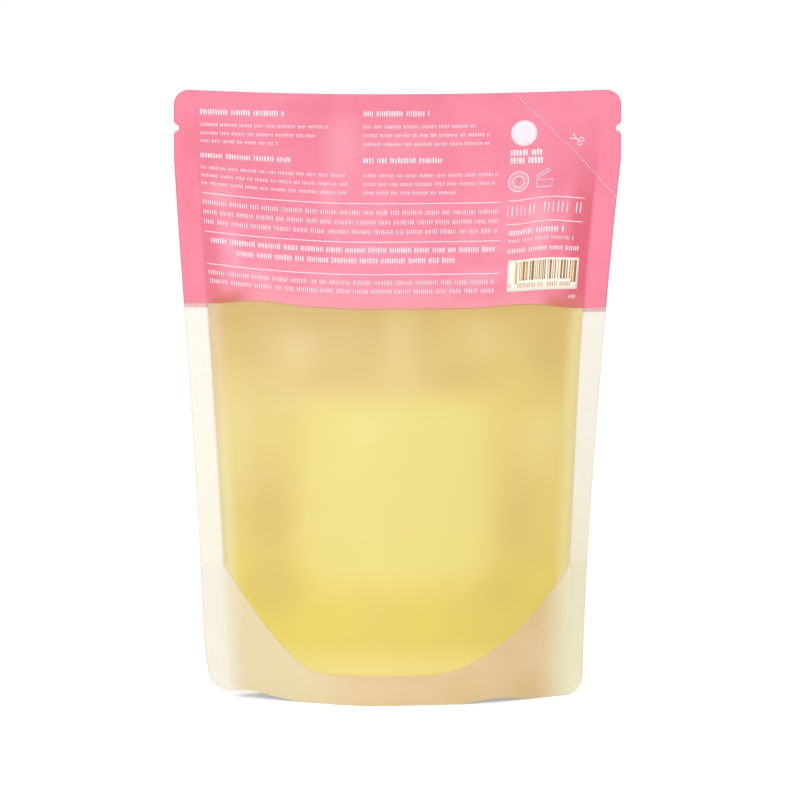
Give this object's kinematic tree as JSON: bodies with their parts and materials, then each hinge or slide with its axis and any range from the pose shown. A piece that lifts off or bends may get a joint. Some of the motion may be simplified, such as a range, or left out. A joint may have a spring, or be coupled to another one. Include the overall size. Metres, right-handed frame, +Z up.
{
  "type": "hand soap refill pack",
  "caption": "Stand-up film pouch of liquid hand soap: frosted panels with a printed upper band, sealed sides and top, tear notches, and a folded bottom gusset that it stands on.",
  "frame": {"origin": "middle of the base on the table, under the middle of the overall box", "axes": "+Z up, from the gusset to the top seal; +X across the width, to the right as the pictured side is seen; +Y away from the pictured side, so the back panel faces -Y and the front panel faces +Y"},
  "size_m": [0.17, 0.0529, 0.2324],
  "materials": {
    "film": "frosted polyethylene laminate, clear and milky below, printed pink above",
    "gusset_film": "frosted polyethylene laminate, unprinted",
    "soap": "cloudy yellow liquid"
  },
  "bodies": {
    "root": {"back_panel": "film", "front_panel": "film", "bottom_gusset": "gusset_film", "liquid_soap": "soap"}
  },
  "joints": []
}
